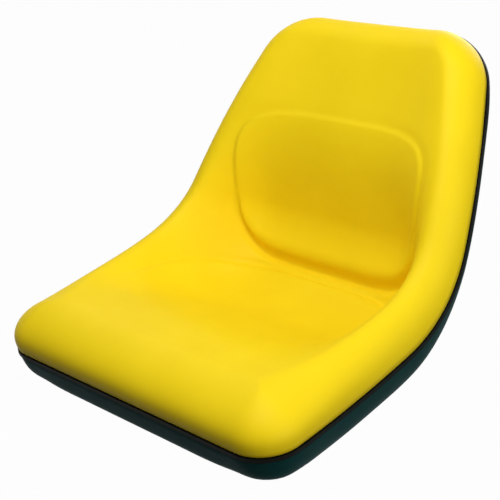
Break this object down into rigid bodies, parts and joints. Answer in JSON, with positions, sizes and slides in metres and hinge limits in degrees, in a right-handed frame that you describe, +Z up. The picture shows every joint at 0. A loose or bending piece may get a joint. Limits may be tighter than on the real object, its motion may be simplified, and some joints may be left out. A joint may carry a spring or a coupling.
{
  "type": "tractor seat",
  "caption": "Low-back bucket seat for a small tractor: moulded vinyl cushion with raised lumbar pad on a pressed steel pan with bolt-down pads.",
  "frame": {"origin": "centre of the rectangle of mounting holes, on the plane of the mounting pads' faces", "axes": "+X sideways, to the right seen from the front; -Y to the front edge; +Z up"},
  "size_m": [0.5104, 0.5026, 0.4557],
  "materials": {
    "yellow_vinyl": "satin vacuum-formed vinyl with fine grain",
    "green_paint": "satin paint",
    "black_trim": "extruded vinyl",
    "zinc_steel": "zinc plated"
  },
  "bodies": {
    "root": {"cushion": "yellow_vinyl", "seat_pan": "green_paint", "edge_trim": "black_trim", "weld_nuts": "zinc_steel"}
  },
  "joints": []
}
